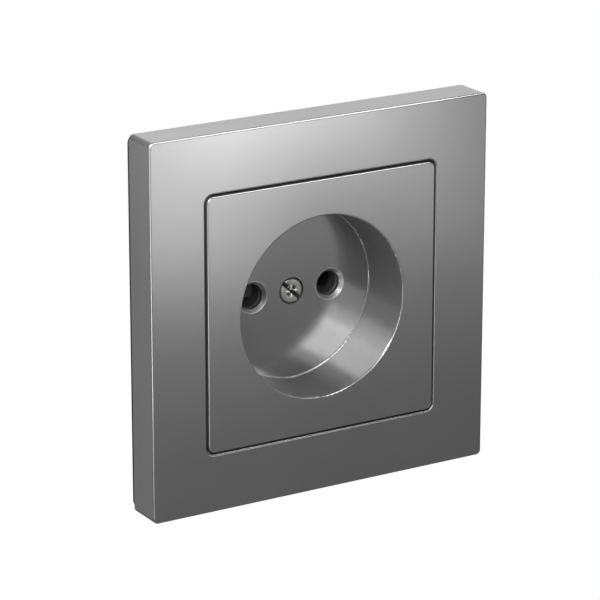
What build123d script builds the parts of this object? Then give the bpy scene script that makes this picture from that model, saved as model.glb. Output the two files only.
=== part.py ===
from build123d import *
from math import radians, tan
import os

# Ungrounded flush wall socket in a square cover frame, in millimetres.
# X points right, Y into the wall and Z up. The origin is the socket's middle on the wall's surface.

# Cover frame
frame_side = 81.3
frame_height = 9.8
frame_corner = 1.1
frame_edge = 0.38
frame_skin = 2.0
frame_wall = 2.0
rim_inset = 0.4
rim_height = 1.35
rim_corner = 1.8
opening_edge = 0.4
collar_wall = 1.6
ledge_height = 4.8
ledge_thickness = 1.4
ledge_reach = 2.4
rib_thickness = 1.0
rib_rear = 2.6
rib_pitch = 22.0

# Cover plate with the plug well
plate_side = 55.0
plate_gap = 0.46
plate_proud = 0.2
plate_corner = 1.4
plate_edge = 0.25
plate_skin = 2.0
plate_wall = 1.6
well_radius = 19.75
well_depth = 12.85
well_draft = 2.0
well_edge = 0.3
well_fillet = 0.28
floor_thickness = 1.6
plate_rib = 1.2
pin_spacing = 19.0
pin_hole_radius = 2.75
pin_hole_chamfer = 0.7
pin_hole_edge = 0.15

# Cover screw and its nut
screw_radius = 1.45
screw_head_radius = 2.62
screw_head_height = 1.9
screw_head_edge = 0.2
screw_head_gap = 0.34
screw_hole_gap = 0.25
screw_boss_wall = 1.2
screw_boss_height = 1.4
screw_overrun = 2.0
slot_width = 0.9
slot_depth = 0.75
drive_depth = 1.0
cross_length = 3.1
cross_width = 0.8
cross_depth = 1.3
tick_length = 3.2
tick_width = 0.22
tick_depth = 0.3
drive_angle = -43.0
nut_flats = 5.5
nut_height = 2.4
nut_setback = 5.6
nut_gap = 0.1

# Contact carrier
carrier_thickness = 2.0
carrier_step = 1.05
carrier_gap = 0.2
carrier_hole_radius = 2.6
carrier_hole_edge = 0.25
guide_wall = 0.7
guide_height = 1.2

# Socket base
base_side_cut = 1.45
base_end_wall = 1.55
base_corner = 8.0
base_edge = 1.0
base_wall = 1.8
base_rear_wall = 2.5
base_draft = 1.0
flange_reach = 0.8
flange_thickness = 2.2
cup_gap = 0.1
cup_seat_gap = 0.25
core_width = 11.0
core_height = 9.5
core_depth = 14.0
core_corner = 1.2
core_margin = 5.5
pad_margin = 1.6
pad_height = 0.7

# Contacts, springs and terminals
contact_thickness = 0.8
contact_front_gap = 0.35
contact_depth = 14.0
jaw_length = 8.0
jaw_gap = 3.6
jaw_mouth = 5.4
jaw_reach = 3.2
web_offset = 3.15
web_half = 2.5
contact_bend = 0.9
contact_gap = 0.05
spring_thickness = 0.5
spring_length = 5.0
spring_setback = 1.5
spring_reach = 0.7
chamber_gap = 0.05
chamber_reach = 4.1
bay_reach = 4.5
bay_floor_gap = 0.3
tail_width = 6.4
tab_level = 8.2
tab_reach = 3.3
tab_collar_wall = 0.95
tab_collar_height = 1.2
terminal_shift = 0.6
wire_room = 2.4
clamp_width = 7.4
clamp_length = 5.8
clamp_thickness = 1.2
clamp_corner = 0.5
terminal_radius = 1.7
terminal_gap = 0.03
terminal_head_radius = 2.9
terminal_head_height = 2.0
terminal_tip = 0.6
wire_hole_radius = 1.3
wire_hole_offset = 2.7
wire_funnel = 0.7

# Support plate
support_gap = 3.15
support_thickness = 1.0
support_corner = 5.0
aperture_gap = 0.3
box_spacing = 60.0
box_slot_length = 5.4
box_slot_width = 3.6
plate_screw_side = 5.5
plate_screw_end = 3.5
plate_screw_radius = 1.1
plate_screw_gap = 0.02
plate_screw_hole = 1.5
plate_screw_head = 2.4
plate_screw_head_height = 1.5
plate_screw_length = 9.0
bend_radius = 0.4

# Claws
claw_screw_radius = 1.5
claw_screw_gap = 0.2
claw_screw_head = 2.5
claw_screw_head_gap = 0.15
claw_screw_head_height = 1.9
claw_screw_overrun = 2.5
claw_thickness = 1.2
claw_width = 9.6
claw_side_gap = 0.4
claw_lever = 3.2
claw_pivot_depth = 18.5
claw_pivot_radius = 0.9
claw_pivot_gap = 0.07
claw_pivot_reach = 0.3
claw_bend = 1.0
claw_base_gap = 0.7
claw_slot_inner_room = 0.8
claw_slot_outer_room = 0.4
claw_tip_depth = 6.4
claw_tip_reach = 1.8
claw_tip_rise = 1.5
claw_tooth_pitch = 3.2
claw_tooth_depth = 1.3
leg_width = 4.0
leg_end_radius = 2.0

# Places that follow from the sizes above, as heights in front of the wall or depths behind it
wall = Plane.XZ
opening_side = plate_side + 2 * plate_gap
opening_corner = plate_corner + plate_gap
collar_side = opening_side + 2 * collar_wall
collar_rear = ledge_height - ledge_thickness
hollow_side = frame_side - 2 * frame_wall
ring_side = (collar_side + hollow_side) / 2
rib_length = (hollow_side - collar_side) / 2
skin_rear = frame_height - frame_skin
plate_front = frame_height + plate_proud
floor_front = plate_front - well_depth
floor_rear = floor_front - floor_thickness
floor_radius = well_radius - well_depth * tan(radians(well_draft))
boss_radius = screw_head_radius + screw_head_gap + screw_boss_wall
carrier_rear = floor_rear - carrier_thickness
recess_radius = well_radius + plate_wall + cup_gap
recess_floor = floor_rear - cup_seat_gap
base_width = 2 * (recess_radius - base_side_cut)
base_height = 2 * (recess_radius + base_end_wall)
carrier_radius = recess_radius - carrier_step
carrier_width = base_width - 2 * (base_wall + carrier_gap)
pin_x = pin_spacing / 2
contact_front = guide_height + contact_front_gap - carrier_rear
contact_rear = contact_front + contact_depth
base_depth = contact_rear + base_rear_wall
nut_depth = contact_front + nut_setback
screw_end = nut_depth + nut_height + screw_overrun
web_x = pin_x + web_offset
web_outer = web_x + contact_thickness / 2
spring_outer = web_outer + contact_gap + spring_thickness
spring_half = web_half + contact_thickness / 2 + contact_gap + spring_thickness
spring_front = contact_front + spring_setback
terminal_x = pin_x - terminal_shift
chamber_inner = pin_x - chamber_reach
bay_inner = terminal_x - bay_reach
tab_inner = terminal_x - tab_reach
tail_front = contact_rear - tail_width
terminal_depth = contact_rear - tail_width / 2
tab_bottom = tab_level + contact_thickness
clamp_top = tab_bottom + wire_room
clamp_bottom = clamp_top + clamp_thickness
terminal_end = clamp_bottom + terminal_head_height
bay_end = terminal_end + bay_floor_gap
wire_level = tab_bottom + wire_room / 2
core_x = (base_width - core_width) / 2 - core_margin + bay_floor_gap
core_z = (base_height - core_height) / 2 - core_margin
support_side = hollow_side - 2 * support_gap
plate_screw_x = base_width / 2 - plate_screw_side
plate_screw_z = base_height / 2 - plate_screw_end
claw_screw_x = recess_radius + claw_screw_head + claw_screw_head_gap
claw_pivot_x = claw_screw_x + claw_lever
claw_tab_reach = claw_pivot_x - base_width / 2 - claw_base_gap
claw_slot_inner = claw_lever + claw_screw_radius + claw_slot_inner_room
claw_slot_outer = claw_lever - claw_screw_radius - claw_slot_outer_room
claw_screw_end = claw_pivot_depth + claw_screw_overrun
window_length = claw_pivot_depth + leg_end_radius
claw_half = claw_width / 2
leg_inner = claw_half + claw_side_gap
leg_outer = leg_inner + support_thickness
claw_pivot_half = leg_outer + claw_pivot_reach

# Cover frame: a hollow moulding with an inset rim, an inner collar, a ledge for the cover plate and ribs
with BuildPart() as cover_frame:
    with BuildSketch(wall.offset(rim_height)):
        RectangleRounded(frame_side, frame_side, frame_corner)
    extrude(amount=frame_height - rim_height)
    with BuildSketch(wall):
        RectangleRounded(frame_side - 2 * rim_inset, frame_side - 2 * rim_inset, rim_corner)
    extrude(amount=rim_height)
    with BuildSketch(wall):
        RectangleRounded(hollow_side, hollow_side, frame_corner)
        RectangleRounded(collar_side, collar_side, opening_corner + collar_wall, mode=Mode.SUBTRACT)
    extrude(amount=skin_rear, mode=Mode.SUBTRACT)
    with BuildSketch(wall):
        RectangleRounded(collar_side, collar_side, opening_corner + collar_wall)
    extrude(amount=collar_rear, mode=Mode.SUBTRACT)
    with BuildSketch(wall.offset(collar_rear)):
        RectangleRounded(opening_side - 2 * ledge_reach, opening_side - 2 * ledge_reach, opening_corner)
    extrude(amount=ledge_thickness, mode=Mode.SUBTRACT)
    with BuildSketch(wall.offset(ledge_height)):
        RectangleRounded(opening_side, opening_side, opening_corner)
    extrude(amount=frame_height - ledge_height, mode=Mode.SUBTRACT)
    with BuildSketch(wall.offset(rib_rear)):
        RectangleRounded(ring_side + rib_thickness, ring_side + rib_thickness, frame_corner + rib_thickness)
        RectangleRounded(ring_side - rib_thickness, ring_side - rib_thickness, frame_corner, mode=Mode.SUBTRACT)
        with PolarLocations((hollow_side + collar_side) / 4, 4):
            with GridLocations(rib_length, rib_pitch, 1, 3):
                Rectangle(rib_length, rib_thickness)
    extrude(amount=skin_rear - rib_rear)
    frame_face = cover_frame.faces().sort_by(Axis.Y)[0]
    fillet(frame_face.outer_wire().edges(), radius=frame_edge)
    frame_face = cover_frame.faces().sort_by(Axis.Y)[0]
    fillet(frame_face.inner_wires()[0].edges(), radius=opening_edge)
cover_frame.part.label = "cover_frame"

# Cover plate: a square skin with a skirt, the drafted well, its floor and the ribs behind
with BuildPart() as cover_plate:
    with BuildSketch(wall.offset(plate_front)):
        RectangleRounded(plate_side, plate_side, plate_corner)
        Circle(well_radius + plate_wall / 2, mode=Mode.SUBTRACT)
    extrude(amount=-plate_skin)
    with BuildSketch(wall.offset(plate_front - plate_skin)):
        RectangleRounded(plate_side, plate_side, plate_corner)
        RectangleRounded(plate_side - 2 * plate_wall, plate_side - 2 * plate_wall, plate_corner, mode=Mode.SUBTRACT)
        with PolarLocations(plate_side / 2, 4, start_angle=45):
            Rectangle(plate_side - 2 * well_radius, plate_rib)
        RectangleRounded(plate_side, plate_side, plate_corner, mode=Mode.INTERSECT)
    extrude(amount=-(plate_front - plate_skin - ledge_height))
    with BuildSketch(Plane.XY):
        with BuildLine():
            Polyline(
                (0, -floor_front),
                (floor_radius, -floor_front),
                (well_radius, -plate_front),
                (well_radius + plate_wall, -plate_front),
                (floor_radius + plate_wall, -floor_rear),
                (0, -floor_rear),
                close=True,
            )
        make_face()
    revolve(axis=Axis.Y)
    with BuildSketch(wall.offset(floor_rear)):
        Circle(boss_radius)
    extrude(amount=-screw_boss_height)
    with BuildSketch(wall.offset(floor_front)):
        with GridLocations(pin_spacing, 0, 2, 1):
            Circle(pin_hole_radius)
    extrude(amount=-floor_thickness, mode=Mode.SUBTRACT)
    with Locations(wall.offset(floor_front)):
        CounterBoreHole(
            radius=screw_radius + screw_hole_gap,
            counter_bore_radius=screw_head_radius + screw_head_gap,
            counter_bore_depth=screw_head_height,
        )
    plate_face = cover_plate.faces().sort_by(Axis.Y)[0]
    fillet(plate_face.outer_wire().edges(), radius=plate_edge)
    plate_face = cover_plate.faces().sort_by(Axis.Y)[0]
    fillet(plate_face.inner_wires()[0].edges(), radius=well_edge)
    floor_level = cover_plate.edges().filter_by(GeomType.CIRCLE).filter_by_position(
        Axis.Y, -floor_front - 0.01, -floor_front + 0.01
    )
    chamfer(floor_level.filter_by(lambda edge: abs(edge.radius - pin_hole_radius) < 0.01), length=pin_hole_chamfer)
    mouth_radius = pin_hole_radius + pin_hole_chamfer
    floor_level = cover_plate.edges().filter_by(GeomType.CIRCLE).filter_by_position(
        Axis.Y, -floor_front - 0.01, -floor_front + 0.01
    )
    fillet(floor_level.filter_by(lambda edge: abs(edge.radius - mouth_radius) < 0.01), radius=pin_hole_edge)
    floor_level = cover_plate.edges().filter_by(GeomType.CIRCLE).filter_by_position(
        Axis.Y, -floor_front - 0.01, -floor_front + 0.01
    )
    fillet(floor_level.filter_by(lambda edge: abs(edge.radius - floor_radius) < 0.01), radius=well_fillet)
cover_plate.part.label = "cover_plate"

# Cover screw: flat head with a slot, a cross and its four ticks, a plain shank for the thread and a pointed end
with BuildPart() as cover_screw:
    with BuildSketch(wall.offset(floor_front)):
        Circle(screw_head_radius)
    extrude(amount=-screw_head_height)
    fillet(cover_screw.edges().sort_by(Axis.Y)[0], radius=screw_head_edge)
    with BuildSketch(wall.offset(floor_front - screw_head_height)):
        Circle(screw_radius)
    extrude(amount=-(screw_end + floor_front - screw_head_height))
    chamfer(cover_screw.edges().sort_by(Axis.Y)[-1], length=screw_radius / 3)
    with BuildSketch(wall.offset(floor_front)):
        Rectangle(2 * screw_head_radius, slot_width, rotation=drive_angle)
    extrude(amount=-drive_depth, mode=Mode.SUBTRACT)
    with BuildSketch(wall.offset(floor_front)):
        Rectangle(cross_length, cross_width, rotation=drive_angle)
        Rectangle(cross_width, cross_length, rotation=drive_angle)
    extrude(amount=-cross_depth, taper=12, mode=Mode.SUBTRACT)
    with BuildSketch(wall.offset(floor_front)):
        Rectangle(tick_length, tick_width, rotation=drive_angle + 45)
        Rectangle(tick_width, tick_length, rotation=drive_angle + 45)
    extrude(amount=-tick_depth, mode=Mode.SUBTRACT)
cover_screw.part.label = "cover_screw"

# Nut of the cover screw
with BuildPart() as cover_nut:
    with BuildSketch(wall.offset(-nut_depth)):
        RegularPolygon(nut_flats / 2, 6, major_radius=False)
        Circle(screw_radius + terminal_gap, mode=Mode.SUBTRACT)
    extrude(amount=-nut_height)
cover_nut.part.label = "cover_nut"

# Contact carrier: the disc behind the well's floor, with pin guides
with BuildPart() as contact_carrier:
    with BuildSketch(wall.offset(floor_rear)):
        Circle(carrier_radius)
        Rectangle(carrier_width, 2 * carrier_radius, mode=Mode.INTERSECT)
    extrude(amount=-carrier_thickness)
    with BuildSketch(wall.offset(carrier_rear)):
        with GridLocations(pin_spacing, 0, 2, 1):
            Circle(carrier_hole_radius + guide_wall)
    extrude(amount=-guide_height)
    with BuildSketch(wall.offset(floor_rear)):
        Circle(boss_radius + carrier_gap)
        with GridLocations(pin_spacing, 0, 2, 1):
            Circle(carrier_hole_radius)
    extrude(amount=-(carrier_thickness + guide_height), mode=Mode.SUBTRACT)
    carrier_mouths = contact_carrier.edges().filter_by(GeomType.CIRCLE).group_by(Axis.Y)[0]
    chamfer(
        carrier_mouths.filter_by(lambda edge: abs(edge.radius - carrier_hole_radius) < 0.01),
        length=carrier_hole_edge,
    )
contact_carrier.part.label = "contact_carrier"

# Socket base: the housing with two contact chambers, terminal bays, wire entries and cored pockets
with BuildPart() as socket_base:
    with BuildSketch(wall):
        RectangleRounded(base_width, base_height, base_corner)
    extrude(amount=-base_depth, taper=base_draft)
    fillet(socket_base.faces().sort_by(Axis.Y)[-1].edges(), radius=base_edge)
    with BuildSketch(wall):
        RectangleRounded(base_width, base_height + 2 * flange_reach, base_corner)
    extrude(amount=-flange_thickness)
    with BuildSketch(wall.offset(-base_depth)):
        with PolarLocations(0, 2):
            with Locations((terminal_x, -wire_level)):
                SlotCenterToCenter(2 * wire_hole_offset, 2 * (wire_hole_radius + pad_margin))
    extrude(amount=-pad_height)
    with BuildSketch(wall):
        Circle(recess_radius)
    extrude(amount=recess_floor, mode=Mode.SUBTRACT)
    with BuildSketch(wall):
        Circle(carrier_radius + carrier_gap)
        Rectangle(carrier_width + 2 * carrier_gap, 3 * carrier_radius, mode=Mode.INTERSECT)
    extrude(amount=carrier_rear, mode=Mode.SUBTRACT)
    with BuildSketch(wall.offset(carrier_rear)):
        with PolarLocations(0, 2):
            with Locations(((chamber_inner + spring_outer + chamber_gap) / 2, 0)):
                Rectangle(spring_outer + chamber_gap - chamber_inner, 2 * (spring_half + chamber_gap))
            with Locations(((bay_inner + web_outer + chamber_gap) / 2, -bay_end / 2)):
                Rectangle(web_outer + chamber_gap - bay_inner, bay_end)
    extrude(amount=-(contact_rear + carrier_rear), mode=Mode.SUBTRACT)
    with BuildSketch(wall):
        Circle(screw_radius + screw_hole_gap)
    extrude(amount=-nut_depth, mode=Mode.SUBTRACT)
    with BuildSketch(wall.offset(-base_depth)):
        RegularPolygon(nut_flats / 2 + nut_gap, 6, major_radius=False)
    extrude(amount=base_depth - nut_depth, mode=Mode.SUBTRACT)
    with BuildSketch(wall.offset(-base_depth)):
        with PolarLocations(0, 2):
            with Locations((core_x, core_z)):
                RectangleRounded(core_width, core_height, core_corner)
                Rectangle(rib_thickness, core_height, mode=Mode.SUBTRACT)
    extrude(amount=core_depth, mode=Mode.SUBTRACT)
    with BuildSketch(Plane.XY.offset(-base_height / 2)):
        with Locations((terminal_x, terminal_depth)):
            Circle(terminal_head_radius + bay_floor_gap)
    extrude(amount=base_height / 2 - bay_end + bay_floor_gap, mode=Mode.SUBTRACT)
    with BuildSketch(Plane.XY.offset(base_height / 2)):
        with Locations((-terminal_x, terminal_depth)):
            Circle(terminal_head_radius + bay_floor_gap)
    extrude(amount=-(base_height / 2 - bay_end + bay_floor_gap), mode=Mode.SUBTRACT)
    with BuildSketch(wall.offset(-base_depth - pad_height)):
        with PolarLocations(0, 2):
            with Locations((terminal_x, -wire_level)):
                with GridLocations(2 * wire_hole_offset, 0, 2, 1):
                    Circle(wire_hole_radius)
    extrude(amount=base_rear_wall + pad_height, mode=Mode.SUBTRACT)
    rear_circles = socket_base.edges().filter_by(GeomType.CIRCLE).group_by(Axis.Y)[-1]
    chamfer(rear_circles.filter_by(lambda edge: abs(edge.radius - wire_hole_radius) < 0.01), length=wire_funnel)
    with BuildSketch(wall):
        with GridLocations(2 * plate_screw_x, 2 * plate_screw_z, 2, 2):
            Circle(plate_screw_radius + plate_screw_gap)
    extrude(amount=-(plate_screw_length + terminal_tip), mode=Mode.SUBTRACT)
socket_base.part.label = "socket_base"

# Right contact: two jaws on a web, with a tail that bends into the terminal tab
with BuildPart() as contact_right:
    with BuildSketch(wall.offset(-contact_front)):
        with BuildLine():
            FilletPolyline(
                (pin_x - jaw_reach, jaw_mouth / 2 + contact_thickness / 2),
                (pin_x, jaw_gap / 2 + contact_thickness / 2),
                (web_x, web_half),
                (web_x, -web_half),
                (pin_x, -jaw_gap / 2 - contact_thickness / 2),
                (pin_x - jaw_reach, -jaw_mouth / 2 - contact_thickness / 2),
                radius=contact_bend,
            )
        trace(line_width=contact_thickness)
    extrude(amount=-jaw_length)
    with BuildSketch(wall.offset(-contact_front)):
        with Locations((web_x, 0)):
            Rectangle(contact_thickness, 2 * (web_half - contact_bend))
    extrude(amount=-contact_depth)
    with BuildSketch(wall.offset(-tail_front)):
        with BuildLine():
            FilletPolyline(
                (web_x, 0),
                (web_x, -tab_level - contact_thickness / 2),
                (tab_inner, -tab_level - contact_thickness / 2),
                radius=contact_bend,
            )
        trace(line_width=contact_thickness)
    extrude(amount=-tail_width)
    with BuildSketch(Plane.XY.offset(-tab_level)):
        with Locations((terminal_x, terminal_depth)):
            Circle(terminal_radius + tab_collar_wall)
    extrude(amount=tab_collar_height)
    with BuildSketch(Plane.XY.offset(-tab_bottom)):
        with Locations((terminal_x, terminal_depth)):
            Circle(terminal_radius + terminal_gap)
    extrude(amount=contact_thickness + tab_collar_height, mode=Mode.SUBTRACT)
contact_right.part.label = "contact_right"

# Left contact: the same piece turned half round
with BuildPart() as contact_left:
    add(contact_right.part, rotation=(0, 180, 0))
contact_left.part.label = "contact_left"

# Spring bands round the jaws
with BuildPart() as contact_spring_right:
    with BuildSketch(wall.offset(-spring_front)):
        with BuildLine():
            FilletPolyline(
                (pin_x - spring_reach, spring_half - spring_thickness / 2),
                (spring_outer - spring_thickness / 2, spring_half - spring_thickness / 2),
                (spring_outer - spring_thickness / 2, -spring_half + spring_thickness / 2),
                (pin_x - spring_reach, -spring_half + spring_thickness / 2),
                radius=contact_bend,
            )
        trace(line_width=spring_thickness)
    extrude(amount=-spring_length)
contact_spring_right.part.label = "contact_spring_right"

with BuildPart() as contact_spring_left:
    add(contact_spring_right.part, rotation=(0, 180, 0))
contact_spring_left.part.label = "contact_spring_left"

# Clamp plates of the terminals
with BuildPart() as terminal_clamp_right:
    with BuildSketch(Plane.XY.offset(-clamp_bottom)):
        with Locations((terminal_x, terminal_depth)):
            RectangleRounded(clamp_width, clamp_length, clamp_corner)
            Circle(terminal_radius + terminal_gap, mode=Mode.SUBTRACT)
    extrude(amount=clamp_thickness)
terminal_clamp_right.part.label = "terminal_clamp_right"

with BuildPart() as terminal_clamp_left:
    add(terminal_clamp_right.part, rotation=(0, 180, 0))
terminal_clamp_left.part.label = "terminal_clamp_left"

# Terminal screws
with BuildPart() as terminal_screw_right:
    with BuildSketch(Plane.XY.offset(-terminal_end)):
        with Locations((terminal_x, terminal_depth)):
            Circle(terminal_head_radius)
    extrude(amount=terminal_head_height)
    fillet(terminal_screw_right.edges().sort_by(Axis.Z)[0], radius=screw_head_edge)
    with BuildSketch(Plane.XY.offset(-clamp_bottom)):
        with Locations((terminal_x, terminal_depth)):
            Circle(terminal_radius)
    extrude(amount=clamp_bottom - tab_level + tab_collar_height + terminal_tip)
    chamfer(terminal_screw_right.edges().sort_by(Axis.Z)[-1], length=terminal_tip)
    with BuildSketch(Plane.XY.offset(-terminal_end)):
        with Locations((terminal_x, terminal_depth)):
            Rectangle(2 * terminal_head_radius, slot_width)
            Rectangle(cross_width, cross_length)
    extrude(amount=slot_depth, mode=Mode.SUBTRACT)
terminal_screw_right.part.label = "terminal_screw_right"

with BuildPart() as terminal_screw_left:
    add(terminal_screw_right.part, rotation=(0, 180, 0))
terminal_screw_left.part.label = "terminal_screw_left"

# Support plate: sheet steel with the aperture, box-screw slots, screw notches and four legs for the claws
with BuildPart() as support_plate:
    with BuildSketch(wall):
        RectangleRounded(support_side, support_side, support_corner)
        Circle(recess_radius + aperture_gap, mode=Mode.SUBTRACT)
        with PolarLocations(box_spacing / 2, 4):
            SlotOverall(box_slot_length, box_slot_width, mode=Mode.SUBTRACT)
        with PolarLocations(0, 2):
            with Locations((claw_screw_x, 0)):
                Circle(claw_screw_radius + claw_screw_gap, mode=Mode.SUBTRACT)
            with Locations((claw_screw_x / 2, 0)):
                Rectangle(claw_screw_x, 2 * (claw_screw_radius + claw_screw_gap), mode=Mode.SUBTRACT)
            with GridLocations(0, 2 * leg_outer + window_length, 1, 2):
                with Locations((claw_pivot_x, 0)):
                    Rectangle(leg_width, window_length, mode=Mode.SUBTRACT)
        with GridLocations(2 * plate_screw_x, 2 * plate_screw_z, 2, 2):
            Circle(plate_screw_hole, mode=Mode.SUBTRACT)
    extrude(amount=support_thickness)
    for side in (-1, 1):
        with BuildSketch(Plane.XY.offset(side * (leg_inner + leg_outer) / 2)):
            with GridLocations(2 * claw_pivot_x, 0, 2, 1):
                with Locations((0, claw_pivot_depth / 2)):
                    Rectangle(leg_width, claw_pivot_depth)
                with Locations((0, claw_pivot_depth)):
                    Circle(leg_end_radius)
                    Circle(claw_pivot_radius + claw_pivot_gap, mode=Mode.SUBTRACT)
        extrude(amount=support_thickness / 2, both=True)
    bend_edges = support_plate.edges().filter_by(Axis.X).filter_by(lambda edge: abs(edge.length - leg_width) < 0.01)
    inner_bends = bend_edges.filter_by_position(Axis.Y, -0.01, 0.01).filter_by(
        lambda edge: abs(abs(edge.center().Z) - leg_inner) < 0.01
    )
    fillet(inner_bends, radius=bend_radius)
    bend_edges = support_plate.edges().filter_by(Axis.X).filter_by(lambda edge: abs(edge.length - leg_width) < 0.01)
    outer_bends = bend_edges.filter_by_position(Axis.Y, -support_thickness - 0.01, -support_thickness + 0.01)
    fillet(
        outer_bends.filter_by(lambda edge: abs(abs(edge.center().Z) - leg_outer) < 0.01),
        radius=bend_radius + support_thickness * 0.5,
    )
support_plate.part.label = "support_plate"

# Four screws that hold the base to the support plate
with BuildPart() as plate_screws:
    with BuildSketch(wall.offset(support_thickness)):
        with GridLocations(2 * plate_screw_x, 2 * plate_screw_z, 2, 2):
            Circle(plate_screw_head)
    extrude(amount=plate_screw_head_height)
    with BuildSketch(wall.offset(support_thickness)):
        with GridLocations(2 * plate_screw_x, 2 * plate_screw_z, 2, 2):
            Circle(plate_screw_radius)
    extrude(amount=-(plate_screw_length + support_thickness))
    fillet(plate_screws.faces().sort_by(Axis.Y)[:4].edges(), radius=plate_screw_head_height / 3)
    with BuildSketch(wall.offset(support_thickness + plate_screw_head_height)):
        with GridLocations(2 * plate_screw_x, 2 * plate_screw_z, 2, 2):
            Rectangle(plate_screw_head, slot_width)
            Rectangle(slot_width, plate_screw_head)
    extrude(amount=-slot_depth, mode=Mode.SUBTRACT)
plate_screws.part.label = "plate_screws"

# Right claw: a bent strip with teeth at the front, a slotted tab at the rear and pivot lugs
with BuildPart() as claw_right:
    with BuildSketch(Plane.XY):
        with BuildLine():
            FilletPolyline(
                (claw_pivot_x - claw_tab_reach, claw_pivot_depth),
                (claw_pivot_x, claw_pivot_depth),
                (claw_pivot_x, claw_tip_depth),
                (claw_pivot_x + claw_tip_reach, claw_tip_depth - claw_tip_rise),
                radius=claw_bend,
            )
        trace(line_width=claw_thickness)
    extrude(amount=claw_half, both=True)
    with BuildSketch(Plane.XY):
        with Locations((claw_pivot_x, claw_pivot_depth)):
            Circle(claw_pivot_radius)
    extrude(amount=claw_pivot_half, both=True)
    with BuildSketch(wall.offset(-claw_pivot_depth)):
        with Locations((claw_pivot_x - (claw_slot_inner + claw_slot_outer) / 2, 0)):
            SlotOverall(claw_slot_inner - claw_slot_outer, 2 * (claw_screw_radius + claw_screw_gap))
    extrude(amount=claw_thickness, both=True, mode=Mode.SUBTRACT)
    with BuildSketch(Plane.YZ.offset(claw_pivot_x)):
        with GridLocations(0, claw_tooth_pitch, 1, 4):
            with Locations((claw_tip_depth - claw_tip_rise - claw_thickness, 0)):
                Triangle(a=claw_tooth_pitch, b=2 * claw_tooth_depth, c=2 * claw_tooth_depth, rotation=-90)
    extrude(amount=3 * claw_tip_reach, mode=Mode.SUBTRACT)
claw_right.part.label = "claw_right"

# Left claw: the mirror image
with BuildPart() as claw_left:
    mirror(claw_right.part, about=Plane.YZ)
claw_left.part.label = "claw_left"

# Screws that pull the claws
with BuildPart() as claw_screw_right:
    with BuildSketch(wall.offset(support_thickness)):
        with Locations((claw_screw_x, 0)):
            Circle(claw_screw_head)
    extrude(amount=claw_screw_head_height)
    fillet(claw_screw_right.edges().sort_by(Axis.Y)[0], radius=claw_screw_head_height / 3)
    with BuildSketch(wall.offset(support_thickness)):
        with Locations((claw_screw_x, 0)):
            Circle(claw_screw_radius)
    extrude(amount=-(support_thickness + claw_screw_end))
    chamfer(claw_screw_right.edges().sort_by(Axis.Y)[-1], length=terminal_tip)
    with BuildSketch(wall.offset(support_thickness + claw_screw_head_height)):
        with Locations((claw_screw_x, 0)):
            Rectangle(2 * claw_screw_head, slot_width)
            Rectangle(slot_width, cross_length)
    extrude(amount=-slot_depth, mode=Mode.SUBTRACT)
claw_screw_right.part.label = "claw_screw_right"

with BuildPart() as claw_screw_left:
    mirror(claw_screw_right.part, about=Plane.YZ)
claw_screw_left.part.label = "claw_screw_left"

os.makedirs("parts", exist_ok=True)
export_step(cover_frame.part, "parts/cover_frame.step")
export_step(cover_plate.part, "parts/cover_plate.step")
export_step(cover_screw.part, "parts/cover_screw.step")
export_step(cover_nut.part, "parts/cover_nut.step")
export_step(contact_carrier.part, "parts/contact_carrier.step")
export_step(socket_base.part, "parts/socket_base.step")
export_step(contact_left.part, "parts/contact_left.step")
export_step(contact_right.part, "parts/contact_right.step")
export_step(contact_spring_left.part, "parts/contact_spring_left.step")
export_step(contact_spring_right.part, "parts/contact_spring_right.step")
export_step(terminal_clamp_left.part, "parts/terminal_clamp_left.step")
export_step(terminal_clamp_right.part, "parts/terminal_clamp_right.step")
export_step(terminal_screw_left.part, "parts/terminal_screw_left.step")
export_step(terminal_screw_right.part, "parts/terminal_screw_right.step")
export_step(support_plate.part, "parts/support_plate.step")
export_step(plate_screws.part, "parts/plate_screws.step")
export_step(claw_left.part, "parts/claw_left.step")
export_step(claw_right.part, "parts/claw_right.step")
export_step(claw_screw_left.part, "parts/claw_screw_left.step")
export_step(claw_screw_right.part, "parts/claw_screw_right.step")
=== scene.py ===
from math import pi, radians, sqrt

import bpy
from bpy.props import (
    CollectionProperty,
    FloatProperty,
    FloatVectorProperty,
    IntProperty,
    PointerProperty,
)
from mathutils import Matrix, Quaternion, Vector


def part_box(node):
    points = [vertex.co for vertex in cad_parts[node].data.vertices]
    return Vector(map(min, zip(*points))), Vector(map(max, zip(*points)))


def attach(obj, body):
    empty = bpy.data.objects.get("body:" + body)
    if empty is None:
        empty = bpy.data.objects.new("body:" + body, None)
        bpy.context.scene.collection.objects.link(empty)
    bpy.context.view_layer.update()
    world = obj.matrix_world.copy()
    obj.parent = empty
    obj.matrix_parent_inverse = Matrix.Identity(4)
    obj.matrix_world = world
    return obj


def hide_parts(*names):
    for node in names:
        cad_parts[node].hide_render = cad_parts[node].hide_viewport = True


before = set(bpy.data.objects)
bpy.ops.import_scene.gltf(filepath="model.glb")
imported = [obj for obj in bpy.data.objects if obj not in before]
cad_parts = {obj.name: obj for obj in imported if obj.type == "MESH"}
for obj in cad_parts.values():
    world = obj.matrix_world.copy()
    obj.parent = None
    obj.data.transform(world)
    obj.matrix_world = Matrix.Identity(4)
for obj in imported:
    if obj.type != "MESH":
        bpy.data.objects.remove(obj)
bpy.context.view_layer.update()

bl_info = {
    "name": "Ungrounded Wall Socket",
    "version": (1, 0, 0),
    "blender": (4, 5, 0),
    "location": "View3D > Sidebar > Wall Socket",
    "description": "Gives the wall socket its finishes, its threaded screws and a plain studio",
    "category": "Object",
}

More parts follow.
